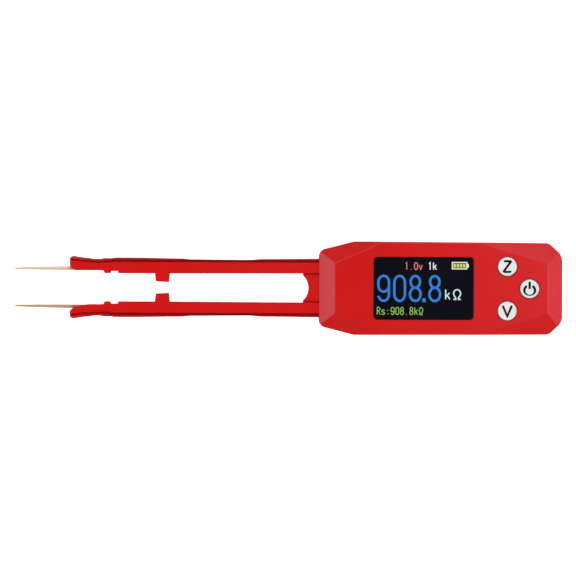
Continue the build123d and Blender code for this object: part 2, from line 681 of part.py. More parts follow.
def arms():
    root_core, root_cover = arm_root()
    front_core, front_cover = arm_front()
    still, bending, moving = conductors()
    blade = needle()
    right = {
        "arm_root": root_core,
        "root_cover": root_cover,
        "root_conductor": still,
        "bend_conductor": bending,
        "arm_beam": front_core,
        "beam_cover": front_cover,
        "beam_conductor": moving,
        "probe_contact": probe_contact(),
        "probe_nose": nose(blade),
        "probe_needle": blade,
    }
    pieces = {}
    for name, solid in right.items():
        pieces["right_" + name] = solid
        pieces["left_" + name] = other_side(solid)
    return pieces


# ================================================================ assembly
def build():
    pieces = {}
    pieces.update(casing())
    pieces["shell_screws"] = shell_screws()
    pieces.update(display())
    pieces.update(buttons())
    pieces.update(electronics())
    pieces["arm_yoke"] = yoke()
    pieces["arm_screws"] = arm_screws()
    pieces.update(arms())
    return pieces


os.makedirs("parts", exist_ok=True)
for node, shape in build().items():
    group = shape if isinstance(shape, list) else [shape]
    solids = [solid for item in group for solid in item.solids()]
    export_step(solids[0] if len(solids) == 1 else Compound(solids), f"parts/{node}.step")

reach = PIVOT_X - TIP_X
closing = degrees(asin((NEEDLE_TIP_Y[0] - TIP_HALF_GAP_CLOSED) / reach))
print(f"pivot at x {PIVOT_X}, y {PIVOT_Y}; each arm closes by {closing:.2f} degrees")
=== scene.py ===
import json
import math

import bmesh
import bpy
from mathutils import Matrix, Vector


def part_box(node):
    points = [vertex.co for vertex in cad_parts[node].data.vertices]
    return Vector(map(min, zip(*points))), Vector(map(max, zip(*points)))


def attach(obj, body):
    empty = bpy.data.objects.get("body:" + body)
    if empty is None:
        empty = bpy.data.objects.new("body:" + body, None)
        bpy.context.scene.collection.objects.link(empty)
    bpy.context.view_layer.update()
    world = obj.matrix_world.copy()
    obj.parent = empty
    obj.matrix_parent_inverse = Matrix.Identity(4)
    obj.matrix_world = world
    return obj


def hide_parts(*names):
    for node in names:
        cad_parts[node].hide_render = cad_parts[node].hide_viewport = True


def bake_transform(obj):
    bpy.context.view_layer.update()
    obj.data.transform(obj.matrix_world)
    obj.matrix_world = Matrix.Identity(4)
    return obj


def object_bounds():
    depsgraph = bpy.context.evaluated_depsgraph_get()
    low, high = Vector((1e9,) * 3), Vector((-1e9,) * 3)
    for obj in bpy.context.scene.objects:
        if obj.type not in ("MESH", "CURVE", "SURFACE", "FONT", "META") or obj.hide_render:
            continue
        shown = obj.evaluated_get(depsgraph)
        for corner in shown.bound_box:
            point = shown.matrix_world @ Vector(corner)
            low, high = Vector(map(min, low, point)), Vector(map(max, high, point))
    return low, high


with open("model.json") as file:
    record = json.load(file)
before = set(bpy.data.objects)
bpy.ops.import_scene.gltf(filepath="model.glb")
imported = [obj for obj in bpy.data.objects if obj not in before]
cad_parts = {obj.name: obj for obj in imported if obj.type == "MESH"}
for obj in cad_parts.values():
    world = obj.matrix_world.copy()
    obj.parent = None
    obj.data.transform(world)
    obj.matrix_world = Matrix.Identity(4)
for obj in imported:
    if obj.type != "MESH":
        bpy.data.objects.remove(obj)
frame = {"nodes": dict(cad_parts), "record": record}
cad_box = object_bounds()

# Visual model of the tweezer-style component tester. Shapes below are written in millimetres
# in the shared frame and turned into metres by new_piece().
MM = 0.001


def box_mm(node):
    low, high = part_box(node)
    return low / MM, high / MM


# ================================================================ material helpers
def new_material(name):
    material = bpy.data.materials.new(name)
    material.use_nodes = True
    nodes = material.node_tree.nodes
    return material, nodes, material.node_tree.links, nodes["Principled BSDF"]


def object_coords(nodes, links, stretch=None):
    coords = nodes.new("ShaderNodeTexCoord").outputs["Object"]
    if stretch is None:
        return coords
    mapping = nodes.new("ShaderNodeMapping")
    mapping.inputs["Scale"].default_value = stretch
    links.new(coords, mapping.inputs["Vector"])
    return mapping.outputs["Vector"]


def noise(nodes, links, vector, scale, detail=2.0, roughness=0.5):
    texture = nodes.new("ShaderNodeTexNoise")
    texture.inputs["Scale"].default_value = scale
    texture.inputs["Detail"].default_value = detail
    texture.inputs["Roughness"].default_value = roughness
    links.new(vector, texture.inputs["Vector"])
    return texture.outputs["Fac"]


def cells(nodes, links, vector, scale):
    texture = nodes.new("ShaderNodeTexVoronoi")
    texture.inputs["Scale"].default_value = scale
    links.new(vector, texture.inputs["Vector"])
    return texture.outputs["Distance"]


def stripes(nodes, links, vector, scale):
    """Bands that follow each other along Y."""
    texture = nodes.new("ShaderNodeTexWave")
    texture.bands_direction = "Y"
    texture.inputs["Scale"].default_value = scale
    texture.inputs["Distortion"].default_value = 0.4
    links.new(vector, texture.inputs["Vector"])
    return texture.outputs["Fac"]


def ramp(nodes, links, factor, stops):
    node = nodes.new("ShaderNodeValToRGB")
    elements = node.color_ramp.elements
    for index, (place, color) in enumerate(stops):
        element = elements[index] if index < 2 else elements.new(place)
        element.position = place
        element.color = (*color, 1.0)
    links.new(factor, node.inputs["Fac"])
    return node.outputs["Color"]


def remap(nodes, links, value, low, high):
    node = nodes.new("ShaderNodeMapRange")
    node.inputs["To Min"].default_value = low
    node.inputs["To Max"].default_value = high
    links.new(value, node.inputs["Value"])
    return node.outputs["Result"]


def bump(nodes, links, height, distance, strength, shader):
    node = nodes.new("ShaderNodeBump")
    node.inputs["Distance"].default_value = distance
    node.inputs["Strength"].default_value = strength
    links.new(height, node.inputs["Height"])
    links.new(node.outputs["Normal"], shader.inputs["Normal"])


def shades(color, down, up):
    """Ramp stops for a colour that wanders between a darker and a lighter shade of itself."""
    dark = tuple(c * down for c in color)
    light = tuple(min(1.0, c * up) for c in color)
    return [(0.3, dark), (0.7, light)]


# ================================================================ materials
MOULD_GRAIN = 0.00016                   # metres, size of the grain of an eroded mould
MOULD_DEPTH = 0.0000015                 # metres, depth of that grain
PLATED_DEPTH = 0.0000012                # metres, depth of the lines in drawn or plated metal


def moulded_plastic(name, color, roughness, specular=0.5):
    """Moulded plastic: spark-eroded grain, cloudy gloss and a faint unevenness of colour."""
    material, nodes, links, shader = new_material(name)
    coords = object_coords(nodes, links)
    clouds = noise(nodes, links, coords, 60.0, 3.0)
    links.new(ramp(nodes, links, clouds, shades(color, 0.975, 1.02)), shader.inputs["Base Color"])
    patches = noise(nodes, links, coords, 260.0, 4.0, 0.6)
    links.new(remap(nodes, links, patches, roughness - 0.04, roughness + 0.05), shader.inputs["Roughness"])
    shader.inputs["Specular IOR Level"].default_value = specular
    erosion = noise(nodes, links, coords, 1.0 / MOULD_GRAIN, 3.0, 0.6)
    bump(nodes, links, erosion, MOULD_DEPTH, 0.6, shader)
    return material


def smoked_window(name, color):
    """Polished window, printed black behind, with the faintest wipe marks."""
    material, nodes, links, shader = new_material(name)
    coords = object_coords(nodes, links)
    clouds = noise(nodes, links, coords, 120.0, 2.0)
    links.new(ramp(nodes, links, clouds, shades(color, 0.9, 1.1)), shader.inputs["Base Color"])
    wipes = noise(nodes, links, object_coords(nodes, links, (900.0, 60.0, 200.0)), 1.0, 3.0)
    links.new(remap(nodes, links, wipes, 0.05, 0.09), shader.inputs["Roughness"])
    shader.inputs["Specular IOR Level"].default_value = 0.06
    return material


def lit_ink(name, color):
    """Light of the display showing through the window, with the fine rows of its dots."""
    material, nodes, links, shader = new_material(name)
    rows = stripes(nodes, links, object_coords(nodes, links), 3200.0)
    links.new(ramp(nodes, links, rows, [(0.0, tuple(c * 0.92 for c in color)), (1.0, color)]),
              shader.inputs["Emission Color"])
    shader.inputs["Emission Strength"].default_value = 1.0
    shader.inputs["Base Color"].default_value = (0.01, 0.01, 0.01, 1.0)
    shader.inputs["Roughness"].default_value = 0.5
    shader.inputs["Specular IOR Level"].default_value = 0.1
    return material


def printed_ink(name, color):
    """Pad-printed legend: slightly uneven coverage, matt."""
    material, nodes, links, shader = new_material(name)
    coverage = noise(nodes, links, object_coords(nodes, links), 3000.0, 2.0)
    links.new(ramp(nodes, links, coverage, shades(color, 0.7, 1.4)), shader.inputs["Base Color"])
    shader.inputs["Roughness"].default_value = 0.8
    shader.inputs["Specular IOR Level"].default_value = 0.05
    return material


def plated_metal(name, color, roughness, stretch, metallic=1.0):
    """Plated or drawn metal with fine lines along the stretched direction."""
    material, nodes, links, shader = new_material(name)
    lines = noise(nodes, links, object_coords(nodes, links, stretch), 1.0, 3.0, 0.6)
    links.new(ramp(nodes, links, lines, shades(color, 0.9, 1.07)), shader.inputs["Base Color"])
    links.new(remap(nodes, links, lines, roughness - 0.06, roughness + 0.1), shader.inputs["Roughness"])
    shader.inputs["Metallic"].default_value = metallic
    bump(nodes, links, lines, PLATED_DEPTH, 0.5, shader)
    return material


def solder_mask(name):
    """Green solder mask over copper traces, cloudy where the copper lies under it."""
    material, nodes, links, shader = new_material(name)
    coords = object_coords(nodes, links)
    traces = cells(nodes, links, coords, 420.0)
    links.new(
        ramp(nodes, links, traces, [(0.34, (0.02, 0.16, 0.06)), (0.42, (0.035, 0.25, 0.09))]),
        shader.inputs["Base Color"])
    shader.inputs["Roughness"].default_value = 0.32
    bump(nodes, links, traces, 0.00002, 0.5, shader)
    return material


def epoxy(name):
    """Black moulding compound: fine-grained, matt, slightly speckled."""
    material, nodes, links, shader = new_material(name)
    coords = object_coords(nodes, links)
    speckle = noise(nodes, links, coords, 5000.0, 2.0, 0.7)
    links.new(
        ramp(nodes, links, speckle, [(0.3, (0.012, 0.012, 0.013)), (0.75, (0.035, 0.035, 0.038))]),
        shader.inputs["Base Color"])
    shader.inputs["Roughness"].default_value = 0.55
    bump(nodes, links, speckle, 0.000004, 0.6, shader)
    return material


def foil_pouch(name):
    """Laminated pouch foil with soft creases."""
    material, nodes, links, shader = new_material(name)
    coords = object_coords(nodes, links)
    creases = cells(nodes, links, coords, 160.0)
    links.new(ramp(nodes, links, creases, [(0.1, (0.48, 0.49, 0.51)), (0.6, (0.66, 0.67, 0.69))]),
              shader.inputs["Base Color"])
    shader.inputs["Metallic"].default_value = 0.9
    shader.inputs["Roughness"].default_value = 0.34
    bump(nodes, links, creases, 0.00006, 0.4, shader)
    return material


def soft_foam(name):
    """Closed-cell foam: pitted and dull."""
    material, nodes, links, shader = new_material(name)
    pits = cells(nodes, links, object_coords(nodes, links), 3500.0)
    links.new(ramp(nodes, links, pits, [(0.1, (0.01, 0.01, 0.01)), (0.6, (0.05, 0.05, 0.05))]),
              shader.inputs["Base Color"])
    shader.inputs["Roughness"].default_value = 0.9
    bump(nodes, links, pits, 0.00003, 0.8, shader)
    return material


def film_with_traces(name):
    """Amber film with copper lines running along it."""
    material, nodes, links, shader = new_material(name)
    lines = stripes(nodes, links, object_coords(nodes, links), 420.0)
    links.new(ramp(nodes, links, lines, [(0.4, (0.42, 0.17, 0.03)), (0.6, (0.66, 0.33, 0.10))]),
              shader.inputs["Base Color"])
    shader.inputs["Roughness"].default_value = 0.3
    return material


BODY_RED = (0.408, 0.0014, 0.0014)
ARM_RED = (0.430, 0.0012, 0.0010)
# darker red of the arm's outer cover: painted shade for its steep outer face and the recess along the seam
COVER_RED_PAINTED_SHADE = (0.295, 0.0006, 0.0004)
looks = {
    "body_red": moulded_plastic("body_red", BODY_RED, 0.31, 0.36),
    "arm_red": moulded_plastic("arm_red", ARM_RED, 0.40, 0.24),
    # cover_red is painted shade: darker than the arm's red where the cover's faces slope away
    "cover_red": moulded_plastic("cover_red", COVER_RED_PAINTED_SHADE, 0.42, 0.16),
    "button_grey": moulded_plastic("button_grey", (0.52, 0.50, 0.475), 0.45, 0.4),
    "window_black": smoked_window("window_black", (0.0037, 0.0035, 0.0056)),
    "cell_glass": smoked_window("cell_glass", (0.02, 0.022, 0.028)),
    "gilded": plated_metal("gilded", (0.61, 0.46, 0.285), 0.46, (80.0, 2600.0, 2600.0), 0.55),
    "contact_copper": plated_metal("contact_copper", (0.72, 0.42, 0.24), 0.34, (100.0, 2400.0, 2400.0)),
    "steel": plated_metal("steel", (0.56, 0.56, 0.57), 0.30, (2600.0, 120.0, 2600.0)),
    "crystal_can": plated_metal("crystal_can", (0.62, 0.61, 0.58), 0.24, (120.0, 2600.0, 2600.0)),
    "board_green": solder_mask("board_green"),
    "chip_black": epoxy("chip_black"),
    "battery_foil": foil_pouch("battery_foil"),
    "lead_red": moulded_plastic("lead_red", (0.42, 0.02, 0.02), 0.5),
    "foam_black": soft_foam("foam_black"),
    "white_plastic": moulded_plastic("white_plastic", (0.72, 0.70, 0.64), 0.45),
    "ribbon_amber": film_with_traces("ribbon_amber"),
}
for row in frame["record"]["subparts"]:
    shape = frame["nodes"][row["node"]].data
    shape.materials.clear()
    shape.materials.append(looks[row["material_slot"]])


# ================================================================ mesh helpers
def new_piece(name, points, faces, material, crease=40.0):
    """Mesh object from points in millimetres, its normals outward, smooth but for real creases."""
    mesh = bpy.data.meshes.new(name)
    mesh.from_pydata([Vector(p) * MM for p in points], [], faces)
    bm = bmesh.new()
    bm.from_mesh(mesh)
    bmesh.ops.recalc_face_normals(bm, faces=bm.faces)
    bm.to_mesh(mesh)
    bm.free()
    mesh.polygons.foreach_set("use_smooth", [True] * len(mesh.polygons))
    mesh.set_sharp_from_angle(angle=math.radians(crease))
    mesh.materials.append(material)
    obj = bpy.data.objects.new(name, mesh)
    bpy.context.scene.collection.objects.link(obj)
    return obj


def loft(name, rings, material, crease=40.0):
    """Skin over rings of points, closed round each ring and capped at both ends."""
    count = len(rings[0])
    points = [p for ring in rings for p in ring]
    faces = []
    for r in range(len(rings) - 1):
        for i in range(count):
            j = (i + 1) % count
            faces.append((r * count + i, r * count + j, (r + 1) * count + j, (r + 1) * count + i))
    faces.append(tuple(reversed(range(count))))
    faces.append(tuple(range((len(rings) - 1) * count, len(rings) * count)))
    return new_piece(name, points, faces, material, crease)


def rounded(corners, steps=4):
    """Closed outline from (a, b, radius) corners; a corner with a radius becomes an arc."""
    outline = []
    count = len(corners)
    for index, (a, b, radius) in enumerate(corners):
        corner = Vector((a, b))
        if radius == 0:
            outline.append(corner)
            continue
        back = Vector(corners[index - 1][:2]) - corner
        ahead = Vector(corners[(index + 1) % count][:2]) - corner
        half_angle = back.angle(ahead) / 2
        reach = min(radius / math.tan(half_angle), 0.45 * back.length, 0.45 * ahead.length)
        start = corner + back.normalized() * reach
        end = corner + ahead.normalized() * reach
        for step in range(steps + 1):
            t = step / steps
            outline.append(start * (1 - t) ** 2 + corner * 2 * t * (1 - t) + end * t ** 2)
    return outline


def follow(keys, x):
    """Smooth value at x from (x, value) keys that run forward from large x to small x."""
    if x >= keys[0][0]:
        return keys[0][1]
    for (x0, v0), (x1, v1) in zip(keys, keys[1:]):
        if x >= x1:
            t = (x0 - x) / (x0 - x1)
            t = t * t * (3 - 2 * t)
            return v0 + (v1 - v0) * t
    return keys[-1][1]


def stations(start, end, step, keys=()):
    """Places along X from start down to end, with every key place among them."""
    count = max(1, round((start - end) / step))
    places = {round(start + (end - start) * i / count, 4) for i in range(count + 1)}
    places |= {round(k, 4) for k in keys if end < k < start}
    return sorted(places, reverse=True)


def carve(obj, *cutters):
    """Cuts the cutters out of obj for good and removes them."""
    for cutter in cutters:
        modifier = obj.modifiers.new("carve", "BOOLEAN")
        modifier.operation = "DIFFERENCE"
        modifier.solver = "EXACT"
        modifier.object = cutter
    graph = bpy.context.evaluated_depsgraph_get()
    mesh = bpy.data.meshes.new_from_object(obj.evaluated_get(graph))
    obj.modifiers.clear()
    obj.data = mesh
    for cutter in cutters:
        bpy.data.objects.remove(cutter)


def block_piece(name, x0, x1, y0, y1, z0, z1, material):
    """Plain block between its limits, used as a cutter or to be cut and softened."""
    ring = [(y0, z0), (y1, z0), (y1, z1), (y0, z1)]
    return loft(name, [[(x, y, z) for y, z in ring] for x in (x0, x1)], material)


def soften(obj, width):
    """Small round along every real edge."""
    modifier = obj.modifiers.new("soft_edges", "BEVEL")
    modifier.width = width * MM
    modifier.segments = 3
    modifier.limit_method = "ANGLE"
    modifier.angle_limit = math.radians(35)
    modifier.harden_normals = True


# ================================================================ arms
body_low, _ = box_mm("top_shell")
root_low, root_high = box_mm("right_arm_root")
beam_low, _ = box_mm("right_arm_beam")
cover_low, cover_high = box_mm("right_beam_cover")
_, root_cover_high = box_mm("right_root_cover")
nose_low, nose_high = box_mm("right_probe_nose")
needle_low, needle_high = box_mm("right_probe_needle")
contact_low, contact_high = box_mm("right_probe_contact")
BLADE_OUTER = needle_low.y + 0.95       # outer face of the blade where it leaves the nose
CONTACT_WALL = 0.22                     # wall of the spring contact round the pin
PIN_HALF = (contact_high.z - contact_low.z) / 2 - CONTACT_WALL
hinge = next(j for j in frame["record"]["behaviour"]["joints"] if j["name"] == "right_arm_squeeze")
PIVOT_X = hinge["pos_m"][0] / MM
MID_Z = hinge["pos_m"][2] / MM
ARM_HALF = root_high.z - MID_Z          # half height of an arm behind the taper
SEAM = root_high.y                      # plane between core and cover
TAPER_X = -26.0                         # the arm thins from here to the nose
NOSE_X = nose_low.x
NOSE_HALF_END = 2.6                     # half height at the flared end
THINNEST_X = NOSE_X + 1.2               # the nose keeps that height from here to its end
CUT_PAST = 1.0                          # how far a cutter runs past the piece it cuts


def arm_half(x):
    """Half height of the arm and nose at x."""
    if x >= TAPER_X:
        return ARM_HALF
    t = (TAPER_X - x) / (TAPER_X - THINNEST_X)
    return ARM_HALF + (NOSE_HALF_END - ARM_HALF) * min(1.0, t)


def arm_core(side, mirror):
    """Inner bar of the arm with its stop peg, the notch behind the nose and the conductor groove."""
    notch = (beam_low.x, beam_low.x + 2.0)
    notch_y = 4.25
    inner_root = root_low.y
    inner_body = 3.85                   # inner face inside the body
    inner_front = 3.67                  # inner face beside the peg and in front of it
    inner_web = 3.815                   # beside the block between the arms, just clear of it
    peg_root = (-34.8, -31.0)
    peg_tip = (-34.55, -31.2)
    peg_y = beam_low.y
    peg_slant = 0.18                    # the peg's tip stands this much less far in at its front
    first_cut, last_cut = -8.0, -28.0   # cut into short lengths here
    groove_half = 1.4
    groove_depth = 1.4
    mouth = 0.5                         # the groove's cutter runs this far past the outer face
    outline = [
        (root_high.x, inner_body), (root_high.x, SEAM), (notch[0], SEAM), (notch[0], notch_y),
        (notch[1], notch_y), (notch[1], inner_front), (peg_root[0], inner_front),
        (peg_tip[0], peg_y + peg_slant), (peg_tip[1], peg_y), (peg_root[1], inner_front),
        (PIVOT_X, inner_root), (body_low.x, inner_web), (body_low.x, inner_body)]
    count = len(outline)
    points = [(x, y, z) for z in (-1.0, 1.0) for x, y in outline]
    faces = [tuple(reversed(range(count))), tuple(range(count, 2 * count))]
    faces += [(i, (i + 1) % count, count + (i + 1) % count, count + i) for i in range(count)]
    core = new_piece(side + "_arm_core", points, faces, looks["arm_red"])
    bm = bmesh.new()
    bm.from_mesh(core.data)
    for x in stations(first_cut, last_cut, 1.0, (TAPER_X,)):
        geometry = bm.verts[:] + bm.edges[:] + bm.faces[:]
        bmesh.ops.bisect_plane(bm, geom=geometry, plane_co=(x * MM, 0, 0), plane_no=(1, 0, 0))
    for vert in bm.verts:
        vert.co.z = (MID_Z + (1 if vert.co.z > 0 else -1) * arm_half(vert.co.x / MM)) * MM
    bm.to_mesh(core.data)
    bm.free()
    carve(core, block_piece(
        "groove", beam_low.x - CUT_PAST, root_high.x + CUT_PAST, SEAM - groove_depth, SEAM + mouth,
        MID_Z - groove_half, MID_Z + groove_half, looks["arm_red"]))
    for vert in core.data.vertices:
        vert.co.y *= mirror
    if mirror < 0:
        core.data.flip_normals()
    core.data.polygons.foreach_set("use_smooth", [True] * len(core.data.polygons))
    soften(core, 0.11)
    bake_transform(core)
    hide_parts(side + "_arm_root", side + "_arm_beam")


OUTER = [                               # outer face of the cover along the arm, as (x, y)
    (root_cover_high.x, root_cover_high.y), (-6.6, 7.52), (-10.2, 7.27), (PIVOT_X, 7.32),
    (-25.4, 7.38), (-27.7, 7.60), (-41.0, cover_high.y), (-45.3, cover_high.y),
    (cover_low.x, cover_high.y - 0.25)]


def arm_cover(side, mirror):
    """Outer cover: a recess along the seam, a low ridge and a face that falls away outward."""
    recess_drop = 0.70                  # depths below the arm's top
    ridge_drop = 0.14
    rings = []
    for x in stations(root_cover_high.x, cover_low.x, 0.9, [k for k, _ in OUTER]):
        half = arm_half(x)
        outer = follow(OUTER, x)
        ridge = min(SEAM + 0.60, outer - 0.08)
        face = outer - ridge
        corners = [                     # recess, ridge and falling face, as (y, z, radius)
            (SEAM, half - recess_drop, 0), (ridge - 0.10, half - recess_drop, 0.1),
            (ridge, half - ridge_drop, 0.12), (ridge + 0.3 * face, half - ridge_drop - 0.04, 0.15),
            (outer, half - ridge_drop - 0.85 * face, 0.25)]
        lower = [(y, -z, r) for y, z, r in reversed(corners)]
        rings.append([(x, y * mirror, MID_Z + z) for y, z in rounded(corners + lower)])
    # the cover gets the darker cover_red, painted shade for its sloping faces and the recess along the
    # seam
    cover = loft(side + "_arm_cover", rings, looks["cover_red"])
    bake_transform(cover)
    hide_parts(side + "_root_cover", side + "_beam_cover")


def arm_conductor(side, mirror):
    """Flat copper strip along the groove, stepping down beside the two screws to the board."""
    low, high = box_mm("right_bend_conductor")
    _, still_high = box_mm("right_root_conductor")
    moving_low, _ = box_mm("right_beam_conductor")
    y0, y1 = low.y, high.y
    step_down = [(10.4, 0.55), (9.6, 0.0)]      # share of the strip's height that is left out
    rings = []
    for x in stations(still_high.x, moving_low.x, 1.2):
        top = high.z - (high.z - low.z) * follow(step_down, x)
        ring = [(y0, low.z), (y1, low.z), (y1, top), (y0, top)]
        rings.append([(x, y * mirror, z) for y, z in ring])
    conductor = loft(side + "_arm_conductor", rings, looks["contact_copper"])
    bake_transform(conductor)
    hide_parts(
        side + "_root_conductor", side + "_bend_conductor", side + "_beam_conductor")


# the nose along X, as (x, y): outer face, inner face, groove, and how far its end is rounded off
FLARE_Y = nose_high.y
COLLAR_BACK = cover_low.x
NOSE_OUTER = [
    (COLLAR_BACK, 7.50), (COLLAR_BACK - 0.35, 7.62), (COLLAR_BACK - 1.6, 7.62),
    (COLLAR_BACK - 2.6, 7.43), (-50.3, 7.41), (-52.9, 7.70), (-54.5, 7.93), (-55.9, FLARE_Y),
    (NOSE_X, FLARE_Y)]
NOSE_INNER = [
    (COLLAR_BACK, 3.88), (COLLAR_BACK - 0.25, 3.67), (COLLAR_BACK - 1.5, 3.67),
    (COLLAR_BACK - 1.85, 4.36), (-49.4, 4.42),
    (-55.5, 4.42), (-56.6, 4.95), (NOSE_X, 5.3)]
NOSE_GROOVE = [(COLLAR_BACK, 6.60), (-50.0, 6.58), (-53.0, 6.80), (-55.5, 7.10), (NOSE_X, 7.15)]
SHADED_BAND_END_X = -53.4                      # the darker band ends here, where the flare begins; its darker red is painted shade
NEEDLE_GAP = 0.04                       # round the needle in its channel and bore
CHANNEL_BACK_X = -50.3
BORE_FRONT_X = -53.0
END_ROUND = [(NOSE_X + 0.95, 0.0), (NOSE_X + 0.45, 0.12), (NOSE_X + 0.15, 0.35), (NOSE_X, 0.62)]


def probe_nose(side, mirror, cut_back):
    """Plug-in nose: collar, waist and flared end, with a groove that carries the arm's seam on."""
    rings = []
    places = [k for k, _ in NOSE_OUTER + NOSE_INNER + END_ROUND]
    for x in stations(COLLAR_BACK, NOSE_X, 0.35, places):
        inset = follow(END_ROUND, x)
        half = arm_half(x) - inset * 0.8
        outer = follow(NOSE_OUTER, x) - inset
        inner = follow(NOSE_INNER, x) + inset * 0.5 + follow(cut_back, x)
        groove = follow(NOSE_GROOVE, x) - inset * 0.6
        band = outer - groove
        corners = [                     # inner face, groove and its floor, band, as (y, z, radius)
            (inner, half, 0.32), (groove - 0.30, half, 0.1), (groove - 0.16, half - 0.55, 0.06),
            (groove + 0.12, half - 0.52, 0.08), (groove + 0.26, half - 0.20, 0.1),
            (groove + 0.66 * band, half - 0.26, 0.3), (outer, half - 0.90, 0.4)]
        lower = [(y, -z, r) for y, z, r in reversed(corners)]
        rings.append([(x, y * mirror, MID_Z + z) for y, z in rounded(corners + lower, 3)])
    nose = loft(side + "_nose", rings, looks["arm_red"], 50.0)
    slot_y = sorted((mirror * (needle_low.y - 0.4), mirror * (BLADE_OUTER + NEEDLE_GAP)))
    slot_half = needle_high.z - MID_Z + NEEDLE_GAP
    pin_y = sorted((mirror * (needle_high.y - 0.55), mirror * (needle_high.y + 0.05)))
    pin_half = PIN_HALF + NEEDLE_GAP
    channel_cutter = block_piece(
        "channel", NOSE_X - CUT_PAST, CHANNEL_BACK_X, *slot_y, MID_Z - slot_half, MID_Z + slot_half,
        looks["arm_red"])
    bore_cutter = block_piece(
        "bore", BORE_FRONT_X, COLLAR_BACK + CUT_PAST, *pin_y, MID_Z - pin_half, MID_Z + pin_half,
        looks["arm_red"])
    carve(nose, channel_cutter, bore_cutter)
    # the groove and the band beyond it, up to the flare, continue the darker cover: its red is painted
    # shade in the groove and on the band
    nose.data.materials.append(looks["cover_red"])
    for face in nose.data.polygons:
        x, y, z = face.center / MM
        beyond = y * mirror - follow(NOSE_GROOVE, x)
        painted_shade_in_groove = abs(beyond) < 0.2
        painted_shade_in_band = beyond > -0.2 and x > SHADED_BAND_END_X
        if (painted_shade_in_groove or painted_shade_in_band) and abs(z - MID_Z) > 0.5 * arm_half(x):
            face.material_index = 1
    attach(nose, side + "_arm")
    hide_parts(side + "_probe_nose")

    # tongue that plugs into the groove of the arm
    tongue_y = sorted((mirror * 5.27, mirror * 6.53))
    tongue_half = 1.34
    tongue = block_piece(
        side + "_nose_tongue", COLLAR_BACK + 0.05, nose_high.x, *tongue_y,
        MID_Z - tongue_half, MID_Z + tongue_half, looks["arm_red"])
    carve(tongue, block_piece(
        "bore", COLLAR_BACK - CUT_PAST, nose_high.x + CUT_PAST, *pin_y, MID_Z - pin_half,
        MID_Z + pin_half, looks["arm_red"]))
    soften(tongue, 0.12)
    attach(tongue, side + "_arm")


def probe_needle(side, mirror):
    """Gilded blade, slanted on its outer side, with a fine point and a pin inside the nose and arm."""
    root_x = NOSE_X + 0.45
    tip_x = needle_low.x
    seat_x = -52.7
    pin_x = -50.5
    pin_inner = needle_high.y - 0.5
    blade_half = needle_high.z - MID_Z
    tip_half = 0.35
    inner_keys = [(pin_x, pin_inner), (seat_x, needle_low.y), (root_x, needle_low.y)]
    outer_keys = [(pin_x, needle_high.y), (seat_x, BLADE_OUTER), (root_x, BLADE_OUTER)]
    half_keys = [(pin_x, PIN_HALF), (seat_x, blade_half), (root_x, blade_half)]
    point_keys = [(tip_x + 0.25, 0.0), (tip_x + 0.08, 0.45), (tip_x, 0.85)]
    places = [k for k, _ in inner_keys + point_keys[:2]]
    rings = []
    for x in stations(needle_high.x, tip_x, 0.7, places):
        t = max(0.0, (root_x - x) / (root_x - tip_x))
        inner = follow(inner_keys, x) + 0.08 * t ** 2
        outer = follow(outer_keys, x) - 0.36 * t ** 2
        half = follow(half_keys, x) * (1 - t) + tip_half * t
        point = follow(point_keys, x)
        middle = (inner + outer) / 2
        inner += (middle - inner) * point
        outer += (middle - outer) * point
        half *= 1 - 0.5 * point
        width = outer - inner
        corners = [
            (inner, half - 0.10 * width, 0.04), (inner + 0.16 * width, half, 0.06),
            (outer, half - 0.34 * width, 0.08)]
        lower = [(y, -z, r) for y, z, r in reversed(corners)]
        rings.append([(x, y * mirror, MID_Z + z) for y, z in rounded(corners + lower, 2)])
    blade = loft(side + "_needle", rings, looks["gilded"], 35.0)
    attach(blade, side + "_arm")
    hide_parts(side + "_probe_needle")


# the inner wall of the left nose is cut back towards its end, as (x, depth)
for arm_side, arm_mirror, nose_cut_back in (
        ("right", 1, [(NOSE_X, 0.0)]),
        ("left", -1, [(-52.2, 0.0), (-53.4, 0.22), (-55.0, 0.48), (-56.2, 0.66)])):
    arm_core(arm_side, arm_mirror)
    arm_cover(arm_side, arm_mirror)
    arm_conductor(arm_side, arm_mirror)
    probe_nose(arm_side, arm_mirror, nose_cut_back)
    probe_needle(arm_side, arm_mirror)


# ================================================================ display window and buttons
window_low, window_high = box_mm("display_window")


def rounded_slab(name, low, high, radius, bevel, material):
    """Slab with rounded corners in plan and a bevelled upper edge."""
    face_ring = bevel + 0.25            # a last ring on the face keeps the face's shading flat
    rings = []
    profile = [
        (low.z, 0.0), (high.z - bevel, 0.0), (high.z - 0.3 * bevel, 0.3 * bevel), (high.z, bevel),
        (high.z, face_ring)]
    for z, inset in profile:
        corners = [
            (low.x + inset, low.y + inset, radius), (high.x - inset, low.y + inset, radius),
            (high.x - inset, high.y - inset, radius), (low.x + inset, high.y - inset, radius)]
        rings.append([(x, y, z) for x, y in rounded(corners, 8)])
    return loft(name, rings, material)


window = rounded_slab("window", window_low, window_high, 1.1, 0.10, looks["window_black"])
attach(window, "housing")
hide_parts("display_window")


def turned(name, center, profile, material, steps=64):
    """Round piece from (radius, z) pairs that run from the bottom up and in to the axis on top."""
    rings = []
    for radius, z in profile:
        rings.append([
            (center.x + radius * math.cos(a), center.y + radius * math.sin(a), z)
            for a in (math.tau * i / steps for i in range(steps))])
    return loft(name, rings, material)


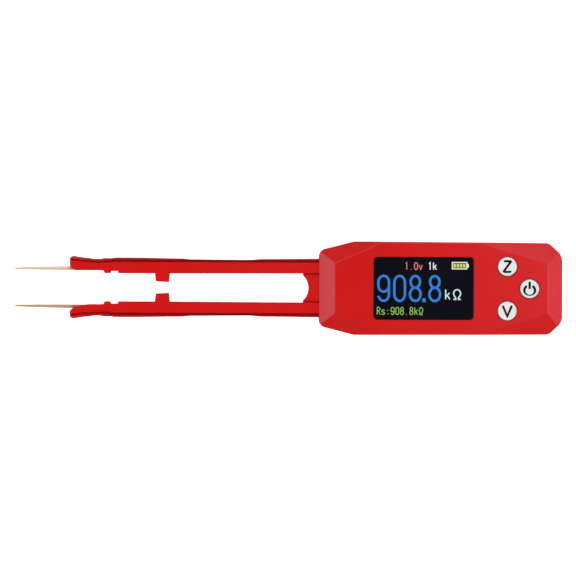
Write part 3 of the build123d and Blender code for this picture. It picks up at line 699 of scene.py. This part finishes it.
def push_button(name):
    """Cap with a softly raised rim, the flange under the shell and the stem."""
    low, high = box_mm("button_" + name)
    center = (low + high) / 2
    flange_r = (high.x - low.x) / 2
    cap_r = 2.45
    stem_r = 1.2
    flange_low = 12.6
    flange_high = 13.2
    top = high.z
    dish = 0.12                         # the face lies this far below the rim
    rim = [                             # (distance in from the cap's side, distance below its top)
        (0.0, 0.30), (0.03, 0.18), (0.10, 0.07), (0.20, 0.01), (0.28, 0.0), (0.36, 0.01), (0.48, 0.07),
        (0.62, dish - 0.01), (0.80, dish)]
    profile = [
        (stem_r, low.z), (stem_r, flange_low), (flange_r, flange_low), (flange_r, flange_high),
        (cap_r, flange_high)]
    profile += [(cap_r - inset, top - drop) for inset, drop in rim] + [(0.02, top - dish)]
    cap = turned("cap_" + name, center, profile, looks["button_grey"])
    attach(cap, name + "_button")
    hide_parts("button_" + name)
    return center, top - dish


# ================================================================ strokes for readings and legends
def ellipse(cx, cy, rx, ry, start, end, steps=18):
    """Points along part of an ellipse, angles in degrees, counter-clockwise when end > start."""
    angles = (math.radians(start + (end - start) * i / steps) for i in range(steps + 1))
    return [(cx + rx * math.cos(a), cy + ry * math.sin(a)) for a in angles]


def ring_of(low, high, reach=0.5, corner=None):
    """Closed upright oval between two heights of the unit cell."""
    ry = (high - low) / 2 if corner is None else corner
    upper = ellipse(0.5, high - ry, reach, ry, 0, 180)
    under = ellipse(0.5, low + ry, reach, ry, 180, 360)
    return upper + (under if corner is not None else under[1:-1])


# strokes of each sign in a cell from (0, 0) to (1, 1); True marks a closed stroke
SIGNS = {
    "0": [(ring_of(0, 1, 0.5, 0.28), True)],
    "1": [([(0.22, 0.80), (0.55, 1.0), (0.55, 0.0)], False)],
    "8": [(ring_of(0.53, 1.0, 0.44), True), (ring_of(0.0, 0.53, 0.5), True)],
    "9": [
        (ring_of(0.37, 1.0, 0.5, 0.25), True),
        ([(1.0, 0.66), (1.0, 0.30)] + ellipse(0.5, 0.27, 0.5, 0.27, 0, -165), False)],
    "k": [([(0.08, 1.0), (0.08, 0.0)], False), ([(0.92, 0.66), (0.08, 0.26)], False),
          ([(0.42, 0.42), (1.0, 0.0)], False)],
    "v": [([(0.0, 0.66), (0.5, 0.0), (1.0, 0.66)], False)],
    "s": [(ellipse(0.5, 0.50, 0.45, 0.16, 20, 270) + ellipse(0.5, 0.17, 0.45, 0.17, 90, -165), False)],
    "R": [([(0.06, 0.0), (0.06, 1.0), (0.52, 1.0)] + ellipse(0.55, 0.76, 0.40, 0.24, 80, -80)
           + [(0.06, 0.52)], False), ([(0.5, 0.52), (1.0, 0.0)], False)],
    "ohm": [([(0.0, 0.0), (0.32, 0.0), (0.32, 0.10)] + ellipse(0.5, 0.60, 0.48, 0.40, 236, -56)
             + [(0.68, 0.10), (0.68, 0.0), (1.0, 0.0)], False)],
    ".": [([(0.30, 0.02), (0.50, 0.02)], False)],
    ":": [([(0.36, 0.10), (0.64, 0.10)], False), ([(0.36, 0.58), (0.64, 0.58)], False)],
    "Z": [([(0.04, 1.0), (0.96, 1.0), (0.0, 0.0), (1.0, 0.0)], False)],
    "V": [([(0.0, 1.0), (0.5, 0.0), (1.0, 1.0)], False)],
}


def stroke_faces(points, closed, width, shapes):
    """Adds one stroke as a band of quads to shapes = (points, faces)."""
    path = [Vector(p) for p in points]
    count = len(path)
    base = len(shapes[0])
    for index, here in enumerate(path):
        before = path[index - 1] if closed or index > 0 else None
        after = path[(index + 1) % count] if closed or index < count - 1 else None
        heading_in = (here - before) if before is not None else (after - here)
        heading_out = (after - here) if after is not None else heading_in
        heading_in.normalize()
        heading_out = heading_out.normalized()
        across_in = Vector((-heading_in.y, heading_in.x))
        across = across_in + Vector((-heading_out.y, heading_out.x))
        across.normalize()
        reach = width / 2 / max(across.dot(across_in), 0.45)
        shapes[0].append(here + across * reach)
        shapes[0].append(here - across * reach)
    for index in range(count if closed else count - 1):
        a = base + 2 * index
        b = base + 2 * ((index + 1) % count)
        shapes[1].append((a, a + 1, b + 1, b))


def draw_signs(name, signs, material, body, z, thickness=0.02):
    """Thin piece of several signs, each (sign, x, y, width, height, stroke) from its lower corner."""
    shapes = ([], [])
    for sign, x, y, width, height, stroke in signs:
        inner_w = width - stroke
        inner_h = height - stroke
        for points, closed in (SIGNS[sign] if isinstance(sign, str) else sign):
            placed = [
                (x + stroke / 2 + u * inner_w, y + stroke / 2 + v * inner_h) for u, v in points]
            stroke_faces(placed, closed, stroke, shapes)
    mesh = bpy.data.meshes.new(name)
    mesh.from_pydata([(p.x * MM, p.y * MM, z * MM) for p in shapes[0]], [], shapes[1])
    bm = bmesh.new()
    bm.from_mesh(mesh)
    bmesh.ops.recalc_face_normals(bm, faces=bm.faces)
    for face in bm.faces:
        if face.normal.z < 0:
            face.normal_flip()
    bm.to_mesh(mesh)
    bm.free()
    mesh.materials.append(material)
    obj = bpy.data.objects.new(name, mesh)
    bpy.context.scene.collection.objects.link(obj)
    sheet = obj.modifiers.new("ink", "SOLIDIFY")
    sheet.thickness = thickness * MM
    sheet.offset = 1.0
    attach(obj, body)


# ---------------------------------------------------------------- readings on the window
# u runs along the window from its front edge and v_from_top across it from its +Y edge, millimetres
INK_GAP = 0.004                         # under the strokes, so that they don't share the face
GLASS_Z = window_high.z + INK_GAP
digit_blue = lit_ink("digit_blue", (0.023, 0.205, 0.67))
unit_pale = lit_ink("unit_pale", (0.62, 0.86, 0.87))
level_red = lit_ink("level_red", (0.72, 0.16, 0.18))
range_white = lit_ink("range_white", (0.86, 0.88, 0.88))
second_green = lit_ink("second_green", (0.28, 0.55, 0.10))
battery_cream = lit_ink("battery_cream", (0.88, 0.86, 0.76))
battery_yellow = lit_ink("battery_yellow", (0.66, 0.62, 0.16))


def on_window(u, v_from_top, height):
    """Frame place of a sign's lower front corner, from the window's front and upper edges."""
    return window_low.x + u, window_high.y - v_from_top - height


def line_of(signs, u, v_from_top, pitch, width, height, stroke):
    """Signs in a row, each the given width, but for the wider ohm."""
    placed = []
    for index, sign in enumerate(signs):
        x, y = on_window(u + index * pitch, v_from_top, height)
        placed.append((sign, x, y, width * 1.12 if sign == "ohm" else width, height, stroke))
    return placed


DIGIT_W = 3.38
DIGIT_H = 7.12
DIGIT_TOP = 4.60
DIGIT_STROKE = 0.62
big = []
for sign, u in (("9", 0.92), ("0", 5.08), ("8", 9.15), ("8", 14.22)):
    x, y = on_window(u, DIGIT_TOP, DIGIT_H)
    big.append((sign, x, y, DIGIT_W, DIGIT_H, DIGIT_STROKE))
POINT = 0.98                            # height of the decimal point and width of its stroke
POINT_CELL = 1.86                       # the stroke starts and ends half its own width inside this
point_x, point_y = on_window(12.18, DIGIT_TOP + DIGIT_H - POINT, POINT)
big.append(([([(0.0, 0.5), (1.0, 0.5)], False)], point_x, point_y, POINT_CELL, POINT, POINT))
draw_signs("display_digits", big, digit_blue, "housing", GLASS_Z)
UNIT_H = 2.85
unit_top = DIGIT_TOP + DIGIT_H - UNIT_H - 0.60
unit = line_of(["k"], 18.50, unit_top, 0, 1.50, UNIT_H, 0.31)
unit += line_of(["ohm"], 20.60, unit_top, 0, 2.00, UNIT_H, 0.33)
draw_signs("display_unit", unit, unit_pale, "housing", GLASS_Z)
draw_signs(
    "display_level", line_of(["1", ".", "0", "v"], 8.03, 1.30, 1.22, 1.08, 2.10, 0.27),
    level_red, "housing", GLASS_Z)
draw_signs(
    "display_range", line_of(["1", "k"], 14.10, 1.25, 1.25, 1.12, 2.15, 0.27),
    range_white, "housing", GLASS_Z)
draw_signs(
    "display_second",
    line_of(["R", "s", ":", "9", "0", "8", ".", "8", "k", "ohm"], 0.80, 12.98, 1.22, 1.00, 2.10, 0.21),
    second_green, "housing", GLASS_Z)

# charge symbol: case, terminal and bars; sizes are (width, height)
CASE = (4.05, 1.95)
CASE_STROKE = 0.28
TERMINAL = (0.34, 1.30)
BAR = (0.68, 1.62)
BAR_STROKE = 0.66
BAR_PITCH = 0.82
case_x, case_y = on_window(20.32, 1.22, CASE[1])
outline = [([(0.0, 0.0), (1.0, 0.0), (1.0, 1.0), (0.0, 1.0)], True)]
upright = [([(0.5, 0.0), (0.5, 1.0)], False)]
draw_signs(
    "display_battery",
    [(outline, case_x, case_y, *CASE, CASE_STROKE),
     (upright, case_x + CASE[0] + 0.02, case_y + 0.33, *TERMINAL, TERMINAL[0])],
    battery_cream, "housing", GLASS_Z)
bars = [
    (upright, case_x + 0.42 + index * BAR_PITCH, case_y + 0.16, *BAR, BAR_STROKE) for index in range(4)]
draw_signs("display_charge", bars, battery_yellow, "housing", GLASS_Z)

# ---------------------------------------------------------------- buttons with their legends
legend_black = printed_ink("legend_black", (0.0015, 0.0015, 0.0015))
POWER_GAP = 30                          # degrees left open to each side of the power symbol's bar
POWER = [
    (ellipse(0.5, 0.35, 0.5, 0.44, 90 + POWER_GAP, 450 - POWER_GAP, 40), False),
    ([(0.5, 0.49), (0.5, 1.13)], False),
]
for button_name, sign, sign_w, sign_h, stroke in (
        ("z", "Z", 2.66, 3.36, 0.58), ("v", "V", 2.96, 3.36, 0.58), ("power", POWER, 3.42, 3.75, 0.62)):
    middle, face_z = push_button(button_name)
    draw_signs(
        "legend_" + button_name,
        [(sign, middle.x - sign_w / 2, middle.y - sign_h / 2, sign_w, sign_h, stroke)],
        legend_black, button_name + "_button", face_z + 0.002, 0.012)


# ================================================================ charging port contacts
tongue_low, tongue_high = box_mm("usb_tongue")
PADS = 12
PAD_PITCH = 0.5
PAD_HALF = 0.14
PAD_T = 0.03


def port_pads(face_name, low_z):
    """Row of gilded contacts on one face of the receptacle's tongue."""
    x0, x1 = tongue_high.x - 3.2, tongue_high.x - 0.3
    points = []
    faces = []
    for index in range(PADS):
        y = (index - (PADS - 1) / 2) * PAD_PITCH
        base = len(points)
        for z in (low_z, low_z + PAD_T):
            points += [
                (x0, y - PAD_HALF, z), (x1, y - PAD_HALF, z), (x1, y + PAD_HALF, z), (x0, y + PAD_HALF, z)]
        faces += [tuple(base + k for k in quad) for quad in (
            (3, 2, 1, 0), (4, 5, 6, 7), (0, 1, 5, 4), (1, 2, 6, 5), (2, 3, 7, 6), (3, 0, 4, 7))]
    pads = new_piece("usb_pads_" + face_name, points, faces, looks["gilded"])
    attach(pads, "housing")


port_pads("upper", tongue_high.z)
port_pads("lower", tongue_low.z - PAD_T)


# ================================================================ floor
def floor():
    """Wide plane, so pale that hardly a shadow shows on it."""
    half = 3000.0
    z = cad_box[0].z / MM - 0.2         # just clear of the underside
    points = [(-half, -half, z), (half, -half, z), (half, half, z), (-half, half, z)]
    material, nodes, links, shader = new_material("floor_white")
    tone = noise(nodes, links, object_coords(nodes, links), 20.0, 2.0)
    links.new(
        ramp(nodes, links, tone, [(0.0, (0.49, 0.49, 0.49)), (1.0, (0.51, 0.51, 0.51))]),
        shader.inputs["Base Color"])
    shader.inputs["Roughness"].default_value = 0.9
    shader.inputs["Specular IOR Level"].default_value = 0.1
    shader.inputs["Emission Color"].default_value = (1.0, 1.0, 1.0, 1.0)
    shader.inputs["Emission Strength"].default_value = 0.92
    ground = new_piece("floor", points, [(0, 1, 2, 3)], material)
    ground.visible_glossy = False       # no haze from it on the facets


floor()


# ================================================================ light
def softbox(name, place, target, size, radiance, color=(1.0, 1.0, 1.0), mirrored=True, lights=True):
    """Rectangular panel; radiance is its brightness, so its power follows from its size.
    A panel that isn't mirrored gives no glare, and one that doesn't light gives nothing but glare."""
    light = bpy.data.lights.new(name, "AREA")
    light.shape = "RECTANGLE"
    light.size, light.size_y = size
    light.energy = radiance * math.pi * size[0] * size[1]
    light.color = color
    obj = bpy.data.objects.new(name, light)
    bpy.context.scene.collection.objects.link(obj)
    obj.location = place
    obj.rotation_euler = (Vector(target) - Vector(place)).to_track_quat("-Z", "Y").to_euler()
    obj.visible_glossy = mirrored
    obj.visible_diffuse = lights


aim = (0.02, 0.0, 0.01)
COOL = (0.93, 0.95, 1.12)
softbox("high_rear", (1.0, 0.0, 1.0), aim, (1.3, 1.0), 1.75, mirrored=False)
softbox("high_front", (-1.1, 0.0, 0.95), aim, (1.3, 1.0), 2.0, mirrored=False)
softbox("high_left", (0.02, 1.05, 1.0), aim, (1.3, 1.0), 2.35)
softbox("high_right", (0.02, -1.05, 1.0), aim, (1.3, 1.0), 2.55, mirrored=False)
softbox("near_rear", (0.32, 0.0, 0.26), (0.16, 0.0, 0.0), (0.26, 0.26), 2.6)
softbox("glare", (0.17, 0.0, 0.26), (0.07, 0.0, 0.0), (0.10, 0.20), 1.6, COOL, lights=False)
softbox("low_front", (-1.6, 0.0, 0.25), (0.0, 0.0, 0.02), (1.6, 0.7), 2.7, COOL)
softbox("low_rear", (1.7, 0.0, 0.25), aim, (1.6, 0.7), 2.2, COOL)
softbox("low_left", (0.75, 1.35, 0.42), aim, (1.3, 0.5), 1.1, COOL)
softbox("side_left", (-0.5, 1.45, 0.40), aim, (1.3, 0.5), 1.5, mirrored=False)
softbox("side_right", (0.1, -1.55, 0.40), aim, (1.6, 0.5), 1.6, mirrored=False)

world = bpy.data.worlds.new("studio")
bpy.context.scene.world = world
world.use_nodes = True
background = world.node_tree.nodes["Background"]
background.inputs["Color"].default_value = (1, 1, 1, 1)
background.inputs["Strength"].default_value = 0.2
world.cycles_visibility.glossy = False


# ================================================================ camera
# square-on above the display, far enough back for little perspective
MARGIN = 1.0531                         # width of the view over the length of the object
DISTANCE = 1.5
ROLL = 0.22                             # degrees
SHIFT = Vector((-0.00005, -0.00002))    # metres, from the middle of the object
VIEW_WIDTH = (cad_box[1].x - cad_box[0].x) * MARGIN
camera_data = bpy.data.cameras.new("camera")
camera = bpy.data.objects.new("camera", camera_data)
bpy.context.scene.collection.objects.link(camera)
bpy.context.scene.camera = camera
camera_data.sensor_width = 36.0
camera_data.lens = camera_data.sensor_width * DISTANCE / VIEW_WIDTH
camera.location = (
    (cad_box[0].x + cad_box[1].x) / 2 + SHIFT.x,
    (cad_box[0].y + cad_box[1].y) / 2 + SHIFT.y,
    MID_Z * MM + DISTANCE)
camera.rotation_euler = (0, 0, math.radians(ROLL))
camera_data.clip_end = 10.0

bpy.context.scene.view_settings.view_transform = "Standard"
